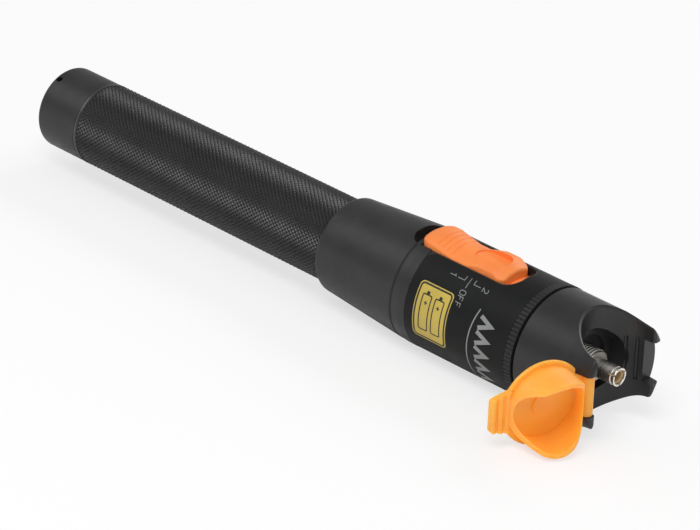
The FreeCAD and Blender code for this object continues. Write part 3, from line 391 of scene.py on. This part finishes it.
def knurl_tree():
    tree, given, result = new_tree("knurl", (("Point", "Object"), ("Round", "Int"), ("Rings", "Int"),
                                             ("Start", "Float"), ("Step", "Float"), ("Material", "Material")))
    given = given.outputs
    unit = add_node(tree, "GeometryNodeObjectInfo", Object=given["Point"])
    index = add_node(tree, "GeometryNodeInputIndex").outputs[0]
    turn = add_node(tree, "ShaderNodeMath", "DIVIDE", i0=2 * math.pi, i1=given["Round"]).outputs[0]
    # One ring of points round the axis.
    spots = add_node(tree, "GeometryNodeMeshLine", Count=given["Round"], Offset=(0.0, 0.0, 0.0))
    angle = add_node(tree, "ShaderNodeMath", "MULTIPLY", i0=index, i1=turn).outputs[0]
    euler = add_node(tree, "ShaderNodeCombineXYZ", X=angle).outputs[0]
    ring = add_node(tree, "GeometryNodeInstanceOnPoints", Points=spots.outputs["Mesh"],
                    Instance=unit.outputs["Geometry"], Rotation=euler)
    # Rings along the tube, every second one turned by half a step.
    reach = add_node(tree, "ShaderNodeCombineXYZ", X=given["Step"]).outputs[0]
    first = add_node(tree, "ShaderNodeCombineXYZ", X=given["Start"]).outputs[0]
    line = add_node(tree, "GeometryNodeMeshLine", Count=given["Rings"], Start_Location=first, Offset=reach)
    odd = add_node(tree, "ShaderNodeMath", "MODULO", i0=index, i1=2.0).outputs[0]
    half = add_node(tree, "ShaderNodeMath", "MULTIPLY", i0=odd, i1=turn).outputs[0]
    half = add_node(tree, "ShaderNodeMath", "MULTIPLY", i0=half, i1=0.5).outputs[0]
    shift = add_node(tree, "ShaderNodeCombineXYZ", X=half).outputs[0]
    rows = add_node(tree, "GeometryNodeInstanceOnPoints", Points=line.outputs["Mesh"],
                    Instance=ring.outputs["Instances"], Rotation=shift)
    real = add_node(tree, "GeometryNodeRealizeInstances", Geometry=rows.outputs["Instances"])
    paint = add_node(tree, "GeometryNodeSetMaterial", Geometry=real.outputs["Geometry"],
                     Material=given["Material"])
    tree.links.new(paint.outputs["Geometry"], result.inputs["Geometry"])
    return tree


def lowered_copy(node, radius, new_radius, material):
    """Copy of a CAD node whose round face at `radius` is brought down to `new_radius`."""
    mesh = NODES[node].data.copy()
    for vert in mesh.vertices:
        out = math.hypot(vert.co.y, vert.co.z)
        if abs(out - radius) < ROUND_TOLERANCE:
            vert.co.y *= new_radius / out
            vert.co.z *= new_radius / out
    mesh.materials.clear()
    mesh.materials.append(material)
    return mesh


def turned_band(name, profile, material, sides=160):
    """Ring turned about the pen's axis from an open (x, radius) profile."""
    mesh = bpy.data.meshes.new(name)
    verts, faces = [], []
    count = len(profile)
    for i in range(sides):
        angle = 2 * math.pi * i / sides
        verts += [(x, radius * math.sin(angle), radius * math.cos(angle)) for x, radius in profile]
    for i in range(sides):
        for k in range(count - 1):
            a, b = i * count + k, (i + 1) % sides * count + k
            faces.append((a, a + 1, b + 1, b))
    mesh.from_pydata(verts, [], faces)
    mesh.materials.append(material)
    return mesh


def knurled_tube():
    floor = GRIP_RADIUS - KNURL_DEPTH
    rear = GRIP_REAR + KNURL_BORDER
    rings = int((GRIP_FRONT - rear) / KNURL_STEP) - 1
    point = knurl_point(2 * math.pi / KNURL_ROUND)
    values = {"Point": point, "Round": KNURL_ROUND, "Rings": rings, "Start": rear + KNURL_STEP,
              "Step": KNURL_STEP, "Material": MAT["knurled_alloy"]}
    knurl = grown("knurl", knurl_tree(), values)
    bpy.data.objects.remove(point)
    core = lowered_copy("battery_tube", GRIP_RADIUS, floor - CORE_SINK, MAT["knurled_alloy"])
    edge = turned_band("seam_edge", [(GRIP_REAR, floor), (GRIP_REAR, GRIP_RADIUS - EDGE_DROP),
                                     (GRIP_REAR + EDGE_ROUND, GRIP_RADIUS - CORE_SINK),
                                     (GRIP_REAR + EDGE_WIDTH, GRIP_RADIUS)], MAT["bare_edge"])
    band = turned_band("seam_band", [(GRIP_REAR + EDGE_WIDTH, GRIP_RADIUS),
                                     (rear + 0.5 * KNURL_STEP, GRIP_RADIUS),
                                     (rear + 0.8 * KNURL_STEP, floor)], MAT["black_alloy"])
    tube = piece("knurled_tube", [core, knurl, edge, band], "pen", ("battery_tube",))
    print("knurl: %d rings of %d points, %d faces" % (rings, KNURL_ROUND, len(tube.data.polygons)))


knurled_tube()

# %% [markdown]
# ## Threaded barrel
#
# The port's barrel carries a fine outside thread.  The tree sweeps a small round ridge along a spiral, and
# the barrel at the thread's root is a darker, duller metal: painted shade in the thread's grooves.

# %% Build the threaded barrel
THREAD_PITCH = 0.75 * MM
THREAD_HEIGHT = 0.38 * MM
THREAD_OVERLAP = 0.08 * MM


def thread_tree():
    tree, given, result = new_tree("thread", (("Length", "Float"), ("Pitch", "Float"), ("Radius", "Float"),
                                              ("Height", "Float"), ("Start", "Float"),
                                              ("Material", "Material")))
    given = given.outputs
    turns = add_node(tree, "ShaderNodeMath", "DIVIDE", i0=given["Length"], i1=given["Pitch"]).outputs[0]
    spiral = add_node(tree, "GeometryNodeCurveSpiral", Resolution=48, Rotations=turns,
                      Start_Radius=given["Radius"], End_Radius=given["Radius"], Height=given["Length"])
    profile = add_node(tree, "GeometryNodeCurvePrimitiveCircle", Resolution=6, Radius=given["Height"])
    ridge = add_node(tree, "GeometryNodeCurveToMesh", Curve=spiral.outputs["Curve"],
                     Profile_Curve=profile.outputs["Curve"])
    place = add_node(tree, "ShaderNodeCombineXYZ", X=given["Start"]).outputs[0]
    laid = add_node(tree, "GeometryNodeTransform", Geometry=ridge.outputs["Mesh"], Translation=place,
                    Rotation=(0.0, math.pi / 2, 0.0))
    real = add_node(tree, "GeometryNodeRealizeInstances", Geometry=laid.outputs["Geometry"])
    paint = add_node(tree, "GeometryNodeSetMaterial", Geometry=real.outputs["Geometry"],
                     Material=given["Material"])
    tree.links.new(paint.outputs["Geometry"], result.inputs["Geometry"])
    return tree


def threaded_barrel():
    ridge = THREAD_HEIGHT / 2
    start = FLANGE_FRONT + THREAD_PITCH / 2
    length = THREAD_FRONT - THREAD_PITCH / 2 - start
    values = {"Length": length, "Pitch": THREAD_PITCH, "Radius": THREAD_RADIUS - ridge,
              "Height": ridge, "Start": start, "Material": MAT["nickel"]}
    thread = grown("thread", thread_tree(), values)
    root = THREAD_RADIUS - THREAD_HEIGHT + THREAD_OVERLAP
    # The barrel under the ridge takes the darker nickel, as painted shade in the thread's grooves.
    core = lowered_copy("adapter_barrel", THREAD_RADIUS, root, MAT["thread_root_painted_shade"])
    barrel = piece("threaded_barrel", [core, thread], "pen", ("adapter_barrel",))
    print("thread: %.1f turns, %d faces" % (length / THREAD_PITCH, len(barrel.data.polygons)))


threaded_barrel()

# %% [markdown]
# ## Soft rim of the dust cap
#
# The CAD cup has two lobes that fill the nose's notches.  Between them the soft rim dips almost to the
# plate, so each point of the rim is lowered towards the plate, most where it meets the tab and less beside
# the hinge.  Heights are taken along the cup's own axis in the open position.

# %% Lower the rim of the dust cap
CAP_FACE_SETBACK = 0.7 * MM
CAP_CUP_RADIUS = 8.55 * MM
CAP_RIM_HEIGHT = 1.0 * MM
CAP_CUP_MARGIN = 0.05 * MM
DIP_START = 0.40
DIP_END = 1.0
TAB_SIDE_DIP = 0.86
HINGE_SIDE_DIP = 0.10


def dipped_cap():
    hinge = cap_hinge()
    pivot = Vector(hinge["pos_m"])
    swing = Matrix.Rotation(math.radians(-hinge["range_deg"][1]), 3, HINGE_AXIS)
    face = Vector((high("nose_shroud").x - CAP_FACE_SETBACK, 0.0, 0.0))
    centre = pivot + swing @ (face - pivot)
    mouth = swing @ Vector((-1.0, 0.0, 0.0))
    side = HINGE_AXIS.cross(mouth).normalized()
    if side.dot(pivot - centre) > 0:
        side = -side
    mesh = NODES["dust_cap"].data.copy()
    lowered = 0
    for vert in mesh.vertices:
        arm = vert.co - centre
        height = arm.dot(mouth)
        across = arm.dot(side)
        out = (arm - height * mouth).length
        if height > CAP_RIM_HEIGHT and out < CAP_CUP_RADIUS + CAP_CUP_MARGIN:
            share = (abs(across) / CAP_CUP_RADIUS - DIP_START) / (DIP_END - DIP_START)
            share = min(max(share, 0.0), 1.0)
            ease = share * share * (3.0 - 2.0 * share)
            depth = TAB_SIDE_DIP if across > 0 else HINGE_SIDE_DIP
            vert.co -= mouth * height * depth * ease
            lowered += 1
    cap = piece("soft_cap", [mesh], "cap", ("dust_cap",))
    print("cap:", lowered, "rim points lowered,", len(cap.data.polygons), "faces")


dipped_cap()

# %% [markdown]
# ## Print on the label
#
# The print is thin skins of ink wrapped round the label.  It is drawn flat, in millimetres along the pen and
# millimetres round it from the switch, and cut into narrow strips before it is wrapped, so that it follows
# the curve.  A yellow panel with two cell outlines and a row of grey chevrons stand where the real one has
# its notices, and the three switch positions are marked 1, OFF and 2.

# %% Print the label
PRINT_RADIUS = LABEL_RADIUS + 0.02 * MM
SECOND_INK = 0.01 * MM
WRAP_STEP = 0.5
MITRE_LIMIT = 0.4
THIN_LINE = 0.16
LETTER_HEIGHT = 1.5
PANEL = (122.2, 131.6, 11.6, 24.6)
PANEL_INSET = 0.45
CELL_STARTS = (123.95, 127.45)
CELL_WIDTH = 2.4
MARK_START = 6.9
CHEVRON_COUNT = 5
CHEVRON_STEP = 3.4
CHEVRON_FOOT = 139.8
CHEVRON_POINT = 143.0
CHEVRON_START = 13.2


def rounded_box(x0, x1, y0, y1, radius, arcs=6):
    """Corners of a rounded rectangle, in order."""
    points = []
    for cx, cy, start in ((x1 - radius, y1 - radius, 0), (x0 + radius, y1 - radius, 90),
                          (x0 + radius, y0 + radius, 180), (x1 - radius, y0 + radius, 270)):
        for k in range(arcs + 1):
            angle = math.radians(start + 90 * k / arcs)
            points.append((cx + radius * math.cos(angle), cy + radius * math.sin(angle)))
    return points


def stroke(points, width, closed=False):
    """Quads that follow a line of points with mitred corners."""
    pts = [Vector(p) for p in points]
    count = len(pts)
    sides = []
    for i, point in enumerate(pts):
        before = pts[i - 1] if closed or i > 0 else None
        after = pts[(i + 1) % count] if closed or i < count - 1 else None
        into = (point - before).normalized() if before is not None else None
        out = (after - point).normalized() if after is not None else None
        into, out = into or out, out or into
        normal = Vector((-into.y - out.y, into.x + out.x)).normalized()
        reach = width / 2 / max(MITRE_LIMIT, normal.dot(Vector((-into.y, into.x))))
        sides.append((point + normal * reach, point - normal * reach))
    quads = []
    for i in range(count if closed else count - 1):
        (a, b), (c, d) = sides[i], sides[(i + 1) % count]
        quads.append([tuple(a), tuple(b), tuple(d), tuple(c)])
    return quads


def wrapped(name, polygons, material, lift=0.0):
    """Flat polygons wrapped round the label as one skin of ink."""
    bm = bmesh.new()
    for corners in polygons:
        bm.faces.new([bm.verts.new((x, y, 0.0)) for x, y in corners])
    spans = [y for corners in polygons for x, y in corners]
    for k in range(math.floor(min(spans) / WRAP_STEP) + 1, math.ceil(max(spans) / WRAP_STEP)):
        everything = bm.verts[:] + bm.edges[:] + bm.faces[:]
        bmesh.ops.bisect_plane(bm, geom=everything, plane_co=(0, k * WRAP_STEP, 0), plane_no=(0, 1, 0))
    for vert in bm.verts:
        angle = vert.co.y * MM / LABEL_RADIUS
        vert.co = on_pen(vert.co.x * MM, PRINT_RADIUS + lift, angle)
    for face in bm.faces:
        middle = face.calc_center_median()
        if face.normal.y * middle.y + face.normal.z * middle.z < 0:
            face.normal_flip()
    mesh = bpy.data.meshes.new(name)
    bm.to_mesh(mesh)
    bm.free()
    mesh.materials.append(material)
    return mesh


LETTERS = {
    "1": [[(0.0, 0.25), (0.3, 0.0), (0.3, 1.0)]],
    "2": [[(0.0, 0.15), (0.2, 0.0), (0.5, 0.0), (0.6, 0.2), (0.6, 0.4), (0.0, 1.0), (0.62, 1.0)]],
    "O": [[(0.15, 0.0), (0.5, 0.0), (0.65, 0.2), (0.65, 0.8), (0.5, 1.0), (0.15, 1.0), (0.0, 0.8),
           (0.0, 0.2), (0.15, 0.0)]],
    "F": [[(0.55, 0.0), (0.0, 0.0), (0.0, 1.0)], [(0.0, 0.47), (0.45, 0.47)]],
}
LETTER_STEP = 0.92


def word(text, x, y, height, width):
    """Strokes of a word that reads round the pen, from the switch outwards; x is the letters' foot."""
    quads = []
    for i, letter in enumerate(text):
        for line in LETTERS[letter]:
            placed = [(x + (1.0 - v) * height, y + (u + i * LETTER_STEP) * height) for u, v in line]
            quads += stroke(placed, width)
    return quads


def panel_skins():
    """Yellow panel with a black line inside its edge and two cell outlines."""
    x0, x1, y0, y1 = PANEL
    gap = PANEL_INSET
    inset = rounded_box(x0 + gap, x1 - gap, y0 + gap, y1 - gap, 0.8)
    cells = []
    for x in CELL_STARTS:
        middle = x + CELL_WIDTH / 2
        cells += stroke(rounded_box(x, x + CELL_WIDTH, 14.2, 22.2, 0.35), 0.3, True)
        cells += stroke([(middle - 0.4, 13.75), (middle + 0.4, 13.75)], 0.7)
        cells += stroke([(middle - 0.45, 16.0), (middle + 0.45, 16.0)], 0.26)
        cells += stroke([(middle, 15.55), (middle, 16.45)], 0.26)
    return [wrapped("panel", [rounded_box(x0, x1, y0, y1, 1.1)], MAT["ink_yellow"]),
            wrapped("panel_line", stroke(inset, 0.42, True), MAT["ink_black"], SECOND_INK),
            wrapped("panel_cells", cells, MAT["ink_black"], SECOND_INK)]


def switch_marks():
    """A bent line for each end position and a straight one for the middle, each with its word."""
    marks = stroke([(131.6, MARK_START), (131.6, 8.0), (129.7, 8.0)], THIN_LINE)
    marks += stroke([(132.9, MARK_START), (132.9, 9.5)], THIN_LINE)
    marks += stroke([(134.2, MARK_START), (134.2, 8.0), (136.1, 8.0)], THIN_LINE)
    for text, x, y in (("1", 127.6, 7.5), ("OFF", 132.2, 10.1), ("2", 136.8, 7.7)):
        marks += word(text, x, y, LETTER_HEIGHT, THIN_LINE)
    return wrapped("switch_marks", marks, MAT["ink_grey"])


def chevron_row():
    """Chevrons that point to the nose, with a thin arc behind them."""
    quads = []
    for k in range(CHEVRON_COUNT):
        y = CHEVRON_START + CHEVRON_STEP * k
        quads += stroke([(CHEVRON_FOOT, y), (CHEVRON_POINT, y + 1.3), (CHEVRON_FOOT, y + 2.6)], 0.95)
    quads += stroke([(137.7 + 0.012 * (k - 10) ** 2, 12.0 + 1.0 * k) for k in range(21)], 0.3)
    return wrapped("chevrons", quads, MAT["ink_grey"])


def print_label():
    skins = panel_skins() + [switch_marks(), chevron_row()]
    label = piece("label_print", skins, "pen")
    print("print:", len(label.data.polygons), "faces in", len(skins), "skins")


print_label()

# %% [markdown]
# ## Studio
#
# A pale floor, a soft white world, three area lights and a camera with a long lens, above the nose end and
# to the dust cap's side.  Where the camera sees the floor directly, part of it is plain white, so that the
# floor stays bright and keeps a soft shadow.

# %% Build the studio
CAMERA_AZIMUTH = 40.0932
CAMERA_ELEVATION = 21.5991
CAMERA_ROLL = 9.1921
CAMERA_DISTANCE = 0.7842
CAMERA_TARGET = Vector((0.0977, -0.0064, -0.00113))
CAMERA_LENS = 187.1
FLOOR_WHITE = 0.66
FLOOR_TONE = (0.92, 0.92, 0.92)
FLOOR_HALF = 3.0
WHITE = (1.0, 1.0, 1.0, 1.0)
WORLD_STRENGTH = 0.38
# Name, place, target, width, height and power of each light.
LAMPS = (("key", (0.35, -0.55, 0.75), (0.12, 0.0, 0.0), 0.5, 0.5, 5.2),
         ("fill", (-0.5, -0.4, 0.5), (0.08, 0.0, 0.0), 0.6, 0.4, 0.9),
         ("back", (0.1, 0.7, 0.5), (0.1, 0.0, 0.0), 0.7, 0.3, 2.4))


def camera_rotation(azimuth, elevation, roll):
    turn = Matrix.Rotation(math.radians(azimuth), 4, "Z")
    tilt = Matrix.Rotation(math.radians(90.0 - elevation), 4, "X")
    spin = Matrix.Rotation(math.radians(roll), 4, "Z")
    return turn @ tilt @ spin


def add_camera():
    data = bpy.data.cameras.new("camera")
    data.lens = CAMERA_LENS
    data.sensor_width = 36.0
    data.clip_start = 0.01
    data.clip_end = 20.0
    camera = bpy.data.objects.new("camera", data)
    bpy.context.scene.collection.objects.link(camera)
    rotation = camera_rotation(CAMERA_AZIMUTH, CAMERA_ELEVATION, CAMERA_ROLL)
    back = rotation @ Vector((0.0, 0.0, 1.0))
    camera.matrix_world = Matrix.Translation(CAMERA_TARGET + back * CAMERA_DISTANCE) @ rotation
    bpy.context.scene.camera = camera


def pale_surface(name, colour):
    """Matt surface with a barely uneven tone; part of what the camera sees of it is plain white."""
    material, shader = new_material(name, colour, 0.9)
    shader.inputs["Specular IOR Level"].default_value = 0.0
    tint_source = grain(material, 0.4, detail=1.0)
    paler = tuple(min(1.0, v * 1.01) for v in colour)
    finish(material, shader, tint(material, tint_source, colour, paler))
    tree = material.node_tree
    white = tree.nodes.new("ShaderNodeEmission")
    white.inputs["Color"].default_value = WHITE
    white.inputs["Strength"].default_value = 1.0
    path = tree.nodes.new("ShaderNodeLightPath")
    share = tree.nodes.new("ShaderNodeMath")
    share.operation = "MULTIPLY"
    share.inputs[1].default_value = FLOOR_WHITE
    tree.links.new(path.outputs["Is Camera Ray"], share.inputs[0])
    mix = tree.nodes.new("ShaderNodeMixShader")
    tree.links.new(share.outputs["Value"], mix.inputs["Fac"])
    tree.links.new(shader.outputs["BSDF"], mix.inputs[1])
    tree.links.new(white.outputs["Emission"], mix.inputs[2])
    tree.links.new(mix.outputs["Shader"], tree.nodes["Material Output"].inputs["Surface"])
    return material


def add_stage():
    half = FLOOR_HALF
    data = bpy.data.meshes.new("floor")
    corners = [(-half, -half, FLOOR_Z), (half, -half, FLOOR_Z), (half, half, FLOOR_Z), (-half, half, FLOOR_Z)]
    data.from_pydata(corners, [], [(0, 1, 2, 3)])
    data.materials.append(pale_surface("floor", FLOOR_TONE))
    floor = bpy.data.objects.new("floor", data)
    bpy.context.scene.collection.objects.link(floor)


def add_area(name, at, towards, width, height, power):
    data = bpy.data.lights.new(name, "AREA")
    data.shape = "RECTANGLE"
    data.size = width
    data.size_y = height
    data.energy = power
    light = bpy.data.objects.new(name, data)
    bpy.context.scene.collection.objects.link(light)
    direction = Vector(towards) - Vector(at)
    light.matrix_world = Matrix.Translation(at) @ direction.to_track_quat("-Z", "Y").to_matrix().to_4x4()


def add_world():
    world = bpy.data.worlds.new("studio")
    bpy.context.scene.world = world
    world.use_nodes = True
    tree = world.node_tree
    tree.nodes.clear()
    output = tree.nodes.new("ShaderNodeOutputWorld")
    mix = tree.nodes.new("ShaderNodeMixShader")
    for slot, strength in ((1, WORLD_STRENGTH), (2, 1.0)):
        light = tree.nodes.new("ShaderNodeBackground")
        light.inputs["Color"].default_value = WHITE
        light.inputs["Strength"].default_value = strength
        tree.links.new(light.outputs[0], mix.inputs[slot])
    path = tree.nodes.new("ShaderNodeLightPath")
    tree.links.new(path.outputs["Is Camera Ray"], mix.inputs["Fac"])
    tree.links.new(mix.outputs[0], output.inputs["Surface"])


bpy.context.scene.view_settings.view_transform = "Standard"
add_camera()
add_stage()
add_world()
for lamp in LAMPS:
    add_area(*lamp)
print("studio ready, lens", CAMERA_LENS)
